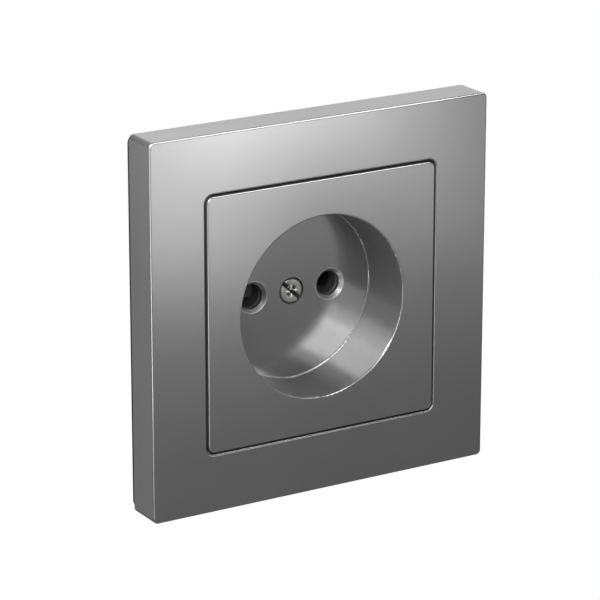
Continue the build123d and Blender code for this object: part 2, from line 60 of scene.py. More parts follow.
# Places on the CAD solids that the finishes follow, in metres.
PIN_OFFSET = 0.0095  # from the middle to the middle of a pin hole
PIN_EDGE = 0.00345  # radius of a pin hole's outer edge
WELL_DEPTHS = (-0.0095, -0.0075)  # along Y, where the lacquer turns into the well's
RIM_BLEND = 0.00002  # half the width of the border between the lacquer and the rim's darker colour
JAW_REACH = (0.0033, 0.0045)  # from a pin's axis, where the soot fades

# Painted shade in the slot and cross of a screw's head and painted highlights on its ticks, in
# metres from its face or its axis.
PAINTED_SHADE_STARTS = (0.0003, 0.0007)
PAINTED_SHADE_ENDS = (0.0014, 0.0016)
PAINTED_SHADE_RIM = (0.94, 0.98)  # shares of the head's radius
TICK_HALVES = (0.0001, 0.0002)
TICK_STARTS = (0.0003, 0.0004)
TICK_ENDS = (0.0012, 0.0014)

# How the finishes vary: added roughness, shares of the width of the painted highlight on the pin
# holes' edges, cells per metre.
RIM_ROUGHER = 0.3
RUBBED_ROUGHER = 0.16
HIGHLIGHT_SHARES = (0.3, 0.7)
SPANGLES = 260.0

# How the screws are modelled: radii and distances in metres, turns in radians, and steps.
COVER_SHANK = 0.00145
CLAW_SHANK = 0.0015
CLAW_TURN_LEFT = 0.35
CLAW_TURN_RIGHT = -0.6
WELD = 0.000001  # corners that are closer than this become one
HEAD_STEPS = 96
HEAD_EDGE_STEPS = 4
SOFT_EDGE_STEPS = 2
SOFT_EDGE_ANGLE = radians(50)  # sharper edges are rounded
SMOOTH_ANGLE = radians(32)  # flatter edges are shaded smooth
GAUGE_STEPS = 72
SPARE_TURNS = 3  # of the thread, cut off at its ends

# Sizes of a screw as shares of its other sizes.
SLOT_REACH = 2.4  # slot cutter's length to the head's radius
CROSS_SHARE = 0.9  # width of the cross's arms to that of the slot
CROSS_TAPER = 0.72  # floor of the cross to its mouth
SHANK_START = 0.8  # of the head's height
GAUGE_REACH = 1.02  # gauge's radius to the thread's
FLANK_START, CREST_START, CREST_END = 0.12, 0.5, 0.62  # of the pitch

# The studio, in metres, with the backdrop's fade in shares of its width and the sensor in mm.
BLACK = (0, 0, 0)
WHITE = (1, 1, 1, 1)
FLOOR_SIZE = 16
PAPER_MOTTLE = 0.4
BACKDROP_FADE = (0.35, 0.5)
SENSOR_WIDTH = 36
NEAREST_SEEN = 0.01
MIDDLE = (0, 0, 0)
CARD = (0.06, 0.06)
TOP_STRIP = (0.06, 0.02)

# Name, place, aim, width and height in metres, roll in degrees and power in watts.
LAMPS = (
    ("key_softbox", (-0.1357, -0.5877, 0.3553), MIDDLE, (0.34, 0.24), 23, 1.673),
    ("key_left", (-0.3791, -0.5871, 0.0398), MIDDLE, (0.24, 0.12), 84, 0.225),
    ("key_right", (0.0987, -0.5871, 0.3682), MIDDLE, (0.12, 0.12), -15, 0.103),
    ("front_softbox", (-0.3289, -0.5697, 0.2394), MIDDLE, (0.2, 0.2), 0, 0.57),
    ("left_panel", (-0.5707, -0.3429, -0.2163), MIDDLE, (0.3, 0.14), 0, 0.43),
    ("side_panel", (-0.3961, 0.6592, -0.2205), MIDDLE, (0.5, 0.4), 0, 0.14),
    ("rear_softbox", (0.1105, 0.6267, 0.6364), MIDDLE, (0.5, 0.5), 0, 0.2),
    ("top_strip_left", (-0.04, -0.0298, 0.06), (-0.04, -0.0098, 0.035), TOP_STRIP, 0, 0.0114),
    ("top_strip_right", (0.02, -0.0298, 0.06), (0.02, -0.0098, 0.035), TOP_STRIP, 0, 0.0115),
    ("corner_strip", (-0.06, -0.0398, 0.06), (-0.025, -0.0098, 0.025), (0.05, 0.03), 0, 0.0434),
    ("side_strip", (-0.062, -0.0348, 0.0075), (-0.03, -0.0098, 0.0075), (0.02, 0.075), 0, 0.0079),
    ("edge_softbox", (0.243, -0.155, 0.41), MIDDLE, (0.15, 0.15), 0, 0.55),
    ("upper_card", (0.1574, -0.3, -0.0239), (-0.012, -0.01, 0.057), CARD, 0, 0.0286),
    ("upper_card_right", (0.1896, -0.3, -0.0239), (0.009, -0.01, 0.057), CARD, 0, 0.005),
    ("left_card", (0.1251, -0.3, -0.0623), (-0.033, -0.01, 0.032), CARD, 0, 0.0186),
    ("middle_card", (0.1896, -0.3, -0.0623), (0.009, -0.01, 0.032), CARD, 0, 0.0014),
    ("right_card", (0.2219, -0.3, -0.0623), (0.03, -0.01, 0.032), CARD, 0, 0.0066),
    ("lower_card", (0.2219, -0.3, -0.1017), (0.03, -0.01, 0.0064), CARD, 0, 0.0009),
)


def colour_setting(name, description, colour):
    return FloatVectorProperty(
        name=name, description=description, subtype="COLOR", min=0, max=1, default=colour
    )


def length_setting(name, description, length):
    return FloatProperty(
        name=name, description=description, unit="LENGTH", min=0, default=length, precision=5
    )


def factor_setting(name, description, factor):
    return FloatProperty(
        name=name, description=description, subtype="FACTOR", min=0, max=1, default=factor
    )


def place_setting(name, description, place):
    return FloatVectorProperty(
        name=name, description=description, subtype="TRANSLATION", unit="LENGTH", default=place
    )


def size_setting(name, description, size):
    return FloatVectorProperty(
        name=name, description=description, size=2, unit="LENGTH", min=0.01, default=size
    )


def angle_setting(name, description, angle):
    return FloatProperty(name=name, description=description, subtype="ANGLE", default=angle)


def power_setting(name, description, power):
    return FloatProperty(name=name, description=description, unit="POWER", min=0, default=power)


class CoverSettings(bpy.types.PropertyGroup):
    """Satin lacquer of the cover frame and the cover plate."""

    colour: colour_setting("Colour", "Colour of the lacquer", (0.33, 0.33, 0.33))
    metallic: factor_setting("Metallic", "Share of metal flakes in the lacquer", 0.8)
    roughness: factor_setting("Roughness", "Mean roughness of the lacquer", 0.2)
    well_roughness: factor_setting(
        "Well roughness", "Mean roughness of the lacquer inside the plug well", 0.18
    )
    # Painted shade: darkens the lacquer inside the plug well towards black.
    well_painted_shade: factor_setting(
        "Well painted shade", "How much painted shade darkens the lacquer inside the plug well", 0.05
    )
    grain: length_setting("Grain", "Size of the fine grain in the lacquer", 0.0004)
    # The band of the frame nearest the wall gets this darker colour instead of the lacquer.
    rim_colour: colour_setting(
        "Rim colour", "Colour of the bare rim against the wall", (0.02, 0.02, 0.021)
    )
    rim_height: length_setting("Rim height", "Height of the bare rim against the wall", 0.00135)
    # Painted highlight: a light ring on the pin holes' edges that stands in for their glint.
    edge_highlight_colour: colour_setting(
        "Edge highlight colour", "Colour of the worn edges of the pin holes", (0.5, 0.5, 0.495)
    )
    # Width of the painted highlight, and of the rubbed, rougher band round the pin holes.
    highlight_and_wear_width: length_setting("Highlight and wear width", "Width of the worn edges of the pin holes", 0.00022)


class HousingSettings(bpy.types.PropertyGroup):
    """Moulded plastics behind the cover."""

    base_colour: colour_setting(
        "Base colour", "Colour of the socket base's plastic", (0.55, 0.55, 0.52)
    )
    carrier_colour: colour_setting(
        "Carrier colour", "Colour of the contact carrier's plastic", (0.045, 0.045, 0.046)
    )
    texture: length_setting("Texture", "Size of the eroded texture on the moulds' walls", 0.0005)


class MetalSettings(bpy.types.PropertyGroup):
    """Sheet metal, screws, spring bands and contacts."""

    zinc_colour: colour_setting(
        "Zinc colour", "Colour of the zinc on the sheet metal", (0.58, 0.59, 0.6)
    )
    screw_colour: colour_setting(
        "Screw colour", "Colour of the plating on the screws and clamps", (0.48, 0.475, 0.455)
    )
    # Painted highlight: the ticks in a screw's cross get this light colour in place of their glint.
    tick_highlight_colour: colour_setting(
        "Tick highlight colour", "Colour of the painted highlights on the ticks in a screw's cross", (0.9, 0.89, 0.86)
    )
    # Painted shade: this dark colour stands in for the shade in the screws' slots and crosses.
    painted_shade_colour: colour_setting(
        "Painted shade colour", "Colour of the grime in the screws' slots", (0.02, 0.02, 0.019)
    )
    tin_colour: colour_setting("Tin colour", "Colour of the tin on the contacts", (0.5, 0.49, 0.46))
    brass_colour: colour_setting(
        "Brass colour", "Colour of the brass where the tin is thin", (0.5, 0.42, 0.28)
    )
    soot_colour: colour_setting(
        "Soot colour", "Colour of the contacts where the pins rub and spark", (0.025, 0.025, 0.025)
    )
    spring_colour: colour_setting("Spring colour", "Colour of the spring bands", (0.3, 0.31, 0.34))
    temper_colour: colour_setting(
        "Temper colour", "Colour of the heat stains on the spring bands", (0.3, 0.25, 0.2)
    )


class ScrewSettings(bpy.types.PropertyGroup):
    """Sizes of the threaded screws."""

    pitch: length_setting("Pitch", "Pitch of the threads", 0.0005)
    thread_depth: length_setting("Thread depth", "Height of the threads above their core", 0.00027)
    thread_steps: IntProperty(
        name="Thread steps", description="Steps in one turn of a thread", min=12, default=36
    )
    head_height: length_setting("Head height", "Height of the heads", 0.0019)
    head_edge: length_setting("Head edge", "Rounding of the heads' rims", 0.00022)
    slot_width: length_setting("Slot width", "Width of the screwdriver slots", 0.0009)
    slot_depth: length_setting("Slot depth", "Depth of the screwdriver slots", 0.001)
    cross_length: length_setting("Cross length", "Length of the cross in a head", 0.0031)
    cross_depth: length_setting("Cross depth", "Depth of the cross in a head", 0.0013)
    tick_length: length_setting(
        "Tick length", "Length of the ticks between the arms of the cross", 0.0032
    )
    tick_width: length_setting(
        "Tick width", "Width of the ticks between the arms of the cross", 0.00036
    )
    edge_softness: length_setting(
        "Edge softness", "Rounding of the edges round the slot and the cross", 0.00004
    )
    drive_angle: angle_setting(
        "Drive angle", "Turn of the cover screw's slot, seen from the front", radians(-43)
    )


class LampSettings(bpy.types.PropertyGroup):
    """One lamp of the studio, with the name that the lamp gets."""

    place: place_setting("Place", "Where the lamp hangs", (0, 0, 1))
    aim: place_setting("Aim", "Point that the lamp faces", MIDDLE)
    size: size_setting("Size", "Width and height of the lamp", (0.3, 0.3))
    roll: angle_setting("Roll", "Turn of the lamp about its aim", 0)
    power: power_setting("Power", "Power of the lamp", 1)


class StudioSettings(bpy.types.PropertyGroup):
    """Camera, lamps, floor and backdrop."""

    camera_place: place_setting(
        "Camera place", "Where the camera stands", (-0.3387, -0.56019, 0.20812)
    )
    camera_turn: FloatVectorProperty(
        name="Camera turn",
        description="How the camera is turned",
        subtype="EULER",
        unit="ROTATION",
        default=(radians(72.2607), radians(-0.0336), radians(-31.1773)),
    )
    lens: FloatProperty(
        name="Lens", description="Focal length on a 36 mm sensor", min=1, default=195.324
    )
    lamps: CollectionProperty(
        type=LampSettings, name="Lamps", description="The lamps of the studio"
    )
    fill: FloatProperty(
        name="Fill", description="Strength of the even light from all round", min=0, default=0.15
    )
    floor_drop: length_setting(
        "Floor drop", "How far the floor lies below the wall socket's middle", 0.7
    )
    floor_colour: colour_setting("Floor colour", "Colour of the floor", (0.8, 0.8, 0.8))
    backdrop_place: place_setting(
        "Backdrop place", "Middle of the white backdrop", (0.612, 1.032, -0.04)
    )
    backdrop_size: size_setting(
        "Backdrop size", "Width and height of the white backdrop", (2.6, 1.32)
    )


class WallSocketSettings(bpy.types.PropertyGroup):
    """All settings of the wall socket."""

    cover: PointerProperty(type=CoverSettings)
    housing: PointerProperty(type=HousingSettings)
    metal: PointerProperty(type=MetalSettings)
    screws: PointerProperty(type=ScrewSettings)
    studio: PointerProperty(type=StudioSettings)


class Channel:
    """An output socket of a node that can stand in sums and products."""

    def __init__(self, finish, socket):
        self.finish = finish
        self.socket = socket

    def combine(self, operation, first, second):
        return self.finish.node("ShaderNodeMath", {"operation": operation}, {0: first, 1: second})

    def __add__(self, other):
        return self.combine("ADD", self, other)

    def __radd__(self, other):
        return self.combine("ADD", other, self)

    def __sub__(self, other):
        return self.combine("SUBTRACT", self, other)

    def __rsub__(self, other):
        return self.combine("SUBTRACT", other, self)

    def __mul__(self, other):
        return self.combine("MULTIPLY", self, other)

    def __rmul__(self, other):
        return self.combine("MULTIPLY", other, self)

    def __abs__(self):
        return self.finish.node("ShaderNodeMath", {"operation": "ABSOLUTE"}, {0: self})


class Finish:
    """The node tree of a material or the world, with the nodes that the finishes share."""

    def __init__(self, owner):
        owner.use_nodes = True
        self.tree = owner.node_tree
        self.tree.nodes.clear()

    def node(self, kind, settings=None, sockets=None, output=0):
        made = self.tree.nodes.new(kind)
        for name, value in (settings or {}).items():
            setattr(made, name, value)
        for name, value in (sockets or {}).items():
            if isinstance(value, Channel):
                self.tree.links.new(value.socket, made.inputs[name])
            else:
                made.inputs[name].default_value = value
        return Channel(self, made.outputs[output]) if made.outputs else None

    def place(self, shift=(0, 0, 0), stretch=(1, 1, 1)):
        point = self.node("ShaderNodeTexCoord", output="Object")
        return self.node(
            "ShaderNodeMapping",
            {"vector_type": "POINT"},
            {"Vector": point, "Location": shift, "Scale": stretch},
        )

    def along(self, axis, point=None):
        point = point or self.node("ShaderNodeTexCoord", output="Object")
        return self.node("ShaderNodeSeparateXYZ", None, {"Vector": point}, output=axis)

    def length(self, point):
        return self.node(
            "ShaderNodeVectorMath", {"operation": "LENGTH"}, {0: point}, output="Value"
        )

    def from_pins(self):
        """Distance from the axis of the nearer pin hole."""
        side = abs(self.along("X")) - PIN_OFFSET
        flat = self.node("ShaderNodeCombineXYZ", None, {"X": side, "Z": self.along("Z")})
        return self.length(flat)

    def noise(self, point, size, detail=2.0):
        return self.node(
            "ShaderNodeTexNoise",
            {"noise_dimensions": "3D"},
            {"Vector": point, "Scale": 1 / size, "Detail": detail},
        )

    def between(self, value, low, high, start=0.0, end=1.0):
        return self.node(
            "ShaderNodeMapRange",
            {"interpolation_type": "SMOOTHSTEP"},
            {"Value": value, "From Min": low, "From Max": high, "To Min": start, "To Max": end},
        )

    def fade(self, value, low, high):
        return self.between(value, low, high, 1.0, 0.0)

    def tint(self, factor, *colours):
        first, second = (each if isinstance(each, Channel) else (*each, 1) for each in colours)
        return self.node(
            "ShaderNodeMix", {"data_type": "RGBA"}, {0: factor, 6: first, 7: second}, output=2
        )

    def relief(self, height, depth):
        return self.node(
            "ShaderNodeBump", None, {"Strength": 1.0, "Distance": depth, "Height": height}
        )

    def surface(self, **sockets):
        shader = self.node(
            "ShaderNodeBsdfPrincipled",
            None,
            {name.replace("_", " ").title(): value for name, value in sockets.items()},
        )
        self.node("ShaderNodeOutputMaterial", None, {"Surface": shader})


def new_finish(name):
    material = bpy.data.materials.new(name)
    return material, Finish(material)


def shade(colour, factor):
    return tuple(min(1.0, part * factor) for part in colour)


def lacquer(finish, settings):
    """Colour, roughness and relief that both covers share."""
    point = finish.place()
    cloud = finish.noise(point, size=0.03)
    fleck = finish.noise(point, size=settings.grain / 3, detail=1.0)
    grain = finish.noise(point, size=settings.grain, detail=3.0)
    tone = finish.between(cloud * 0.6 + fleck * 0.4, 0.3, 0.7)
    colour = finish.tint(tone, shade(settings.colour, 0.95), shade(settings.colour, 1.05))
    roughness = settings.roughness - 0.02 + grain * 0.04
    return colour, roughness, finish.relief(grain, depth=0.0000006)


def frame_lacquer(settings):
    material, finish = new_finish("frame_lacquer")
    colour, roughness, relief = lacquer(finish, settings)
    rim = -settings.rim_height
    # The band nearest the wall turns from the lacquer to the darker, rougher, non-metallic rim
    # colour.
    second_tone = finish.between(finish.along("Y"), rim - RIM_BLEND, rim + RIM_BLEND)
    finish.surface(
        base_color=finish.tint(second_tone, colour, settings.rim_colour),
        metallic=settings.metallic - second_tone * settings.metallic,
        roughness=roughness + second_tone * RIM_ROUGHER,
        normal=relief,
    )
    return material


def plate_lacquer(settings):
    material, finish = new_finish("plate_lacquer")
    colour, roughness, relief = lacquer(finish, settings)
    apart = finish.from_pins()
    edge = abs(apart - PIN_EDGE)
    # Painted highlight: a light ring along the pin holes' edges; the rubbed band only adds
    # roughness.
    painted_highlight = finish.fade(edge, *(settings.highlight_and_wear_width * share for share in HIGHLIGHT_SHARES))
    rubbed = finish.fade(apart, PIN_EDGE, PIN_EDGE + settings.highlight_and_wear_width)
    inside = finish.between(finish.along("Y"), *WELL_DEPTHS)
    smoother = settings.roughness - settings.well_roughness
    # Painted shade inside the plug well: the lacquer is mixed towards black.
    colour = finish.tint(inside * settings.well_painted_shade, colour, BLACK)
    finish.surface(
        base_color=finish.tint(painted_highlight, colour, settings.edge_highlight_colour),
        metallic=settings.metallic,
        roughness=roughness - inside * smoother + rubbed * RUBBED_ROUGHER,
        normal=relief,
    )
    return material


def dark_moulding(settings):
    material, finish = new_finish("dark_moulding")
    colour = settings.carrier_colour
    flow = finish.noise(finish.place(stretch=(1, 1, 0.25)), size=0.004, detail=3.0)
    grain = finish.noise(finish.place(), size=settings.texture)
    finish.surface(
        base_color=finish.tint(flow, shade(colour, 0.8), shade(colour, 1.25)),
        roughness=0.42 + grain * 0.14,
        normal=finish.relief(grain, depth=0.000006),
    )
    return material


def grey_moulding(settings):
    material, finish = new_finish("grey_moulding")
    colour = settings.base_colour
    point = finish.place()
    cloud = finish.noise(point, size=0.012, detail=3.0)
    flow = finish.noise(finish.place(stretch=(1, 0.2, 1)), size=0.0025)
    grain = finish.noise(point, size=settings.texture, detail=3.0)
    tone = finish.between(cloud * 0.7 + flow * 0.3, 0.3, 0.7)
    finish.surface(
        base_color=finish.tint(tone, shade(colour, 0.92), shade(colour, 1.04)),
        roughness=0.46 + grain * 0.16,
        normal=finish.relief(grain, depth=0.00002),
    )
    return material


def zinc_sheet(settings):
    material, finish = new_finish("zinc_sheet")
    colour = settings.zinc_colour
    point = finish.place()
    spangle = finish.node(
        "ShaderNodeTexVoronoi",
        {"feature": "F1"},
        {"Vector": point, "Scale": SPANGLES},
        output="Color",
    )
    streak = finish.noise(finish.place(stretch=(0.04, 1, 1)), size=0.00035, detail=4.0)
    stain = finish.noise(point, size=0.009, detail=4.0)
    tone = finish.between(stain, 0.35, 0.75)
    patch = finish.node("ShaderNodeSeparateColor", None, {"Color": spangle})
    finish.surface(
        base_color=finish.tint(tone * 0.3 + patch * 0.2, colour, shade(colour, 0.72)),
        metallic=1.0,
        roughness=0.32 + streak * 0.1 + tone * 0.05 + patch * 0.04,
        normal=finish.relief(streak + patch * 0.2, depth=0.000005),
    )
    return material


def head_painted_shade(finish, face, radius, apart):
    """Mask of the painted shade in the slot and the cross of a screw's head."""
    depth = finish.along("Y") - face.y
    within = finish.fade(apart, *(radius * share for share in PAINTED_SHADE_RIM))
    return within * finish.between(depth, *PAINTED_SHADE_STARTS) * finish.fade(depth, *PAINTED_SHADE_ENDS)


def head_tick_highlights(finish, face, turn, apart):
    """Mask of the painted highlights on the ticks between the arms of a screw's cross."""
    turned = finish.node(
        "ShaderNodeVectorRotate",
        {"rotation_type": "Y_AXIS"},
        {"Vector": finish.place(), "Center": face, "Angle": -turn + pi / 4},
    )
    across = abs(finish.along("X", turned) - face.x)
    upright = abs(finish.along("Z", turned) - face.z)
    ticks = finish.fade(across, *TICK_HALVES) + finish.fade(upright, *TICK_HALVES)
    return ticks * finish.between(apart, *TICK_STARTS) * finish.fade(apart, *TICK_ENDS)


def plated_steel(name, settings, face=None, radius=0.0, turn=0.0):
    """Plating of the small fixings.

    A screw's face, head radius and turn add the painted shade in the slot and cross of its head and
    the painted highlights on its ticks.
    """
    material, finish = new_finish(name)
    colour = settings.screw_colour
    point = finish.place()
    cloud = finish.noise(point, size=0.0016, detail=3.0)
    grain = finish.noise(point, size=0.00012)
    tone = finish.between(cloud, 0.35, 0.7)
    colour = finish.tint(tone, colour, shade(colour, 0.78))
    roughness = 0.17 + tone * 0.06 + grain * 0.03
    metallic = 1.0
    if face is not None:
        apart = finish.length(finish.place((-face.x, 0, -face.z), (1, 0, 1)))
        painted_shade = head_painted_shade(finish, face, radius, apart)
        ticks = head_tick_highlights(finish, face, turn, apart)
        # Painted shade darkens the slot and the cross of the head.
        colour = finish.tint(painted_shade, colour, settings.painted_shade_colour)
        # Painted highlights on the ticks between the arms of the cross.
        colour = finish.tint(ticks, colour, settings.tick_highlight_colour)
        roughness = roughness + 0.2 + painted_shade * 0.3
        metallic = (1.0 - painted_shade * 0.8) * (1.0 - ticks * 0.7)
    finish.surface(
        base_color=colour,
        metallic=metallic,
        roughness=roughness,
        normal=finish.relief(grain, depth=0.000001),
    )
    return material


def blank_spring(settings):
    material, finish = new_finish("blank_spring")
    stain = finish.noise(finish.place(), size=0.003, detail=3.0)
    temper = finish.between(stain, 0.35, 0.68)
    brush = finish.noise(finish.place(stretch=(1, 1, 0.05)), size=0.0001)
    finish.surface(
        base_color=finish.tint(temper, settings.spring_colour, settings.temper_colour),
        metallic=1.0,
        roughness=0.24 + brush * 0.16,
        normal=finish.relief(brush, depth=0.000002),
    )
    return material


def tinned_brass(settings):
    material, finish = new_finish("tinned_brass")
    patch = finish.noise(finish.place(), size=0.0025, detail=4.0)
    second_tone = finish.between(patch, 0.55, 0.78)
    brush = finish.noise(finish.place(stretch=(1, 0.06, 1)), size=0.00012)
    soot = finish.fade(finish.from_pins(), *JAW_REACH)
    tin = finish.tint(second_tone, settings.tin_colour, settings.brass_colour)
    finish.surface(
        base_color=finish.tint(soot, tin, settings.soot_colour),
        metallic=1.0 - soot * 0.6,
        roughness=0.34 + brush * 0.12 - second_tone * 0.08,
        normal=finish.relief(brush, depth=0.000002),
    )
    return material


def coat_nodes(material, *names):
    for name in names:
        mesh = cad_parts[name].data
        mesh.materials.clear()
        mesh.materials.append(material)


def start_piece():
    if bpy.context.object and bpy.context.object.mode != "OBJECT":
        bpy.ops.object.mode_set(mode="OBJECT")
    bpy.ops.object.select_all(action="DESELECT")


def select_only(piece):
    bpy.ops.object.select_all(action="DESELECT")
    piece.select_set(True)
    bpy.context.view_layer.objects.active = piece


def apply_modifier(piece, kind, **settings):
    select_only(piece)
    modifier = piece.modifiers.new(kind.title(), kind)
    for name, value in settings.items():
        setattr(modifier, name, value)
    bpy.ops.object.modifier_apply(modifier=modifier.name)


def cut_with(piece, cutter, operation="DIFFERENCE"):
    apply_modifier(piece, "BOOLEAN", object=cutter, operation=operation, solver="EXACT")
    bpy.data.objects.remove(cutter)


def seat_piece(piece):
    select_only(piece)
    bpy.ops.object.transform_apply(location=True, rotation=True, scale=True)


def tidy_normals(piece):
    select_only(piece)
    bpy.ops.object.mode_set(mode="EDIT")
    bpy.ops.mesh.select_all(action="SELECT")
    bpy.ops.mesh.remove_doubles(threshold=WELD)
    bpy.ops.mesh.normals_make_consistent(inside=False)
    bpy.ops.object.mode_set(mode="OBJECT")


def edit_selected(piece, kind, wanted):
    """Enter edit mode with only the wanted corners or edges of the piece selected."""
    bpy.ops.object.mode_set(mode="EDIT")
    bpy.ops.mesh.select_all(action="DESELECT")
    bpy.ops.object.mode_set(mode="OBJECT")
    for each in getattr(piece.data, kind):
        each.select = wanted(each)
    bpy.ops.object.mode_set(mode="EDIT")


def bevel_rim(piece, on_rim, offset, segments):
    edit_selected(
        piece,
        "edges",
        lambda edge: all(on_rim(piece.data.vertices[i].co.z) for i in edge.vertices),
    )
    bpy.ops.mesh.bevel(offset=offset, segments=segments, affect="EDGES")
    bpy.ops.object.mode_set(mode="OBJECT")


def block(size, turn):
    start_piece()
    bpy.ops.mesh.primitive_cube_add(size=1)
    piece = bpy.context.object
    piece.scale = size
    piece.rotation_euler = turn
    seat_piece(piece)
    return piece


def rod(radius, height, steps):
    start_piece()
    bpy.ops.mesh.primitive_cylinder_add(
        vertices=steps, radius=radius, depth=height, location=(0, 0, height / 2)
    )
    piece = bpy.context.object
    seat_piece(piece)
    return piece


def bar_cutter(width, length, depth, turn, taper=1.0):
    cutter = block((length, width, 2 * depth), (0, 0, turn))
    edit_selected(cutter, "vertices", lambda corner: corner.co.z > 0)
    bpy.ops.transform.resize(value=(taper, taper, 1), center_override=(0, 0, depth))
    bpy.ops.object.mode_set(mode="OBJECT")
    return cutter


def groove_cutter(width, length, turn):
    return block((length, width / sqrt(2), width / sqrt(2)), (pi / 4, 0, turn))


def thread_body(radius, length, settings):
    core = radius - settings.thread_depth
    pitch = settings.pitch
    profile = (
        (core, 0.0),
        (core, FLANK_START),
        (radius, CREST_START),
        (radius, CREST_END),
        (core, 1.0),
    )
    start_piece()
    bpy.ops.mesh.primitive_grid_add(x_subdivisions=1, y_subdivisions=len(profile) - 1, size=1)
    body = bpy.context.object
    edit_selected(body, "vertices", lambda corner: corner.co.x > 0)
    bpy.ops.mesh.delete(type="VERT")
    bpy.ops.object.mode_set(mode="OBJECT")
    ordered = sorted(body.data.vertices, key=lambda corner: corner.co.y)
    for corner, (out, along) in zip(ordered, profile):
        corner.co = (out, 0, (along - 1) * pitch)
    apply_modifier(
        body,
        "SCREW",
        axis="Z",
        angle=2 * pi,
        screw_offset=pitch,
        iterations=int(length / pitch) + SPARE_TURNS,
        steps=settings.thread_steps,
        render_steps=settings.thread_steps,
        use_merge_vertices=True,
        merge_threshold=WELD / 2,
    )
    for level, upper in ((0.0, False), (length, True)):
        bpy.ops.object.mode_set(mode="EDIT")
        bpy.ops.mesh.select_all(action="SELECT")
        bpy.ops.mesh.bisect(
            plane_co=(0, 0, level),
            plane_no=(0, 0, 1),
            use_fill=True,
            clear_inner=not upper,
            clear_outer=upper,
        )
        bpy.ops.object.mode_set(mode="OBJECT")
    tidy_normals(body)
    return body


def pointed_gauge(radius, length, tip):
    gauge = rod(radius * GAUGE_REACH, length, GAUGE_STEPS)
    bevel_rim(gauge, lambda level: level > length - tip / 2, tip, 1)
    return gauge


def threaded_screw(name, head_radius, radius, length, turn, settings):
    """A screw along Z with its head's face at the origin and its point at length."""
    head_height = settings.head_height
    screw = rod(head_radius, head_height, HEAD_STEPS)
    screw.name = name
    bevel_rim(screw, lambda level: level < head_height / 4, settings.head_edge, HEAD_EDGE_STEPS)
    reach = SLOT_REACH * head_radius
    cut_with(screw, bar_cutter(settings.slot_width, reach, settings.slot_depth, turn))
    arm = (settings.slot_width * CROSS_SHARE, settings.cross_length, settings.cross_depth)
    for quarter in (0, pi / 2):
        cut_with(screw, bar_cutter(*arm, turn + quarter, CROSS_TAPER))
    for eighth in (pi / 4, 3 * pi / 4):
        cut_with(screw, groove_cutter(settings.tick_width, settings.tick_length, turn + eighth))
    apply_modifier(
        screw,
        "BEVEL",
        width=settings.edge_softness,
        segments=SOFT_EDGE_STEPS,
        limit_method="ANGLE",
        angle_limit=SOFT_EDGE_ANGLE,
    )
    start = head_height * SHANK_START
    shank = thread_body(radius, length - start, settings)
    cut_with(shank, pointed_gauge(radius, length - start, radius / 3), "INTERSECT")
    shank.location = (0, 0, start)
    seat_piece(shank)
    cut_with(screw, shank, "UNION")
    tidy_normals(screw)
    return screw


def finish_screw(screw, place, node, radius, turn, settings):
    screw.rotation_euler = (-pi / 2, 0, 0)
    screw.location = place
    seat_piece(screw)
    bpy.ops.object.shade_smooth_by_angle(angle=SMOOTH_ANGLE)
    screw.data.materials.clear()
    screw.data.materials.append(plated_steel(f"{node}_plating", settings, place, radius, turn))
    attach(screw, "socket")
    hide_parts(node)


class DressCovers(bpy.types.Operator):
    """Lacquer the cover frame and the cover plate"""

    bl_idname = "wall_socket.dress_covers"
    bl_label = "Covers"

    def execute(self, context):
        settings = context.scene.wall_socket.cover
        coat_nodes(frame_lacquer(settings), "cover_frame")
        coat_nodes(plate_lacquer(settings), "cover_plate")
        return {"FINISHED"}


class DressHousing(bpy.types.Operator):
    """Give the socket base and the contact carrier their moulded plastics"""

    bl_idname = "wall_socket.dress_housing"
    bl_label = "Housing"

    def execute(self, context):
        settings = context.scene.wall_socket.housing
        coat_nodes(grey_moulding(settings), "socket_base")
        coat_nodes(dark_moulding(settings), "contact_carrier")
        return {"FINISHED"}


class DressContacts(bpy.types.Operator):
    """Give the contacts and the spring bands their metals"""

    bl_idname = "wall_socket.dress_contacts"
    bl_label = "Contacts"

    def execute(self, context):
        settings = context.scene.wall_socket.metal
        coat_nodes(tinned_brass(settings), "contact_left", "contact_right")
        coat_nodes(blank_spring(settings), "contact_spring_left", "contact_spring_right")
        return {"FINISHED"}


class DressFixings(bpy.types.Operator):
    """Give the support plate and the claws their zinc and the small fixings their plating"""

    bl_idname = "wall_socket.dress_fixings"
    bl_label = "Fixings"

    def execute(self, context):
        settings = context.scene.wall_socket.metal
        coat_nodes(zinc_sheet(settings), "support_plate", "claw_left", "claw_right")
        coat_nodes(
            plated_steel("plated_steel", settings),
            "cover_nut",
            "plate_screws",
            "terminal_clamp_left",
            "terminal_clamp_right",
            "terminal_screw_left",
            "terminal_screw_right",
        )
        return {"FINISHED"}


class MakeScrews(bpy.types.Operator):
    """Model the cover screw and the claw screws with their threads"""

    bl_idname = "wall_socket.make_screws"
    bl_label = "Screws"

    def execute(self, context):
        settings = context.scene.wall_socket
        for node, shank, turn in (
            ("cover_screw", COVER_SHANK, -settings.screws.drive_angle),
            ("claw_screw_left", CLAW_SHANK, CLAW_TURN_LEFT),
            ("claw_screw_right", CLAW_SHANK, CLAW_TURN_RIGHT),
        ):
            low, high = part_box(node)
            name = f"{node}_threaded"
            radius = (high.x - low.x) / 2
            length = high.y - low.y
            screw = threaded_screw(name, radius, shank, length, turn, settings.screws)
            face = Vector(((low.x + high.x) / 2, low.y, (low.z + high.z) / 2))
            finish_screw(screw, face, node, radius, turn, settings.metal)
        return {"FINISHED"}


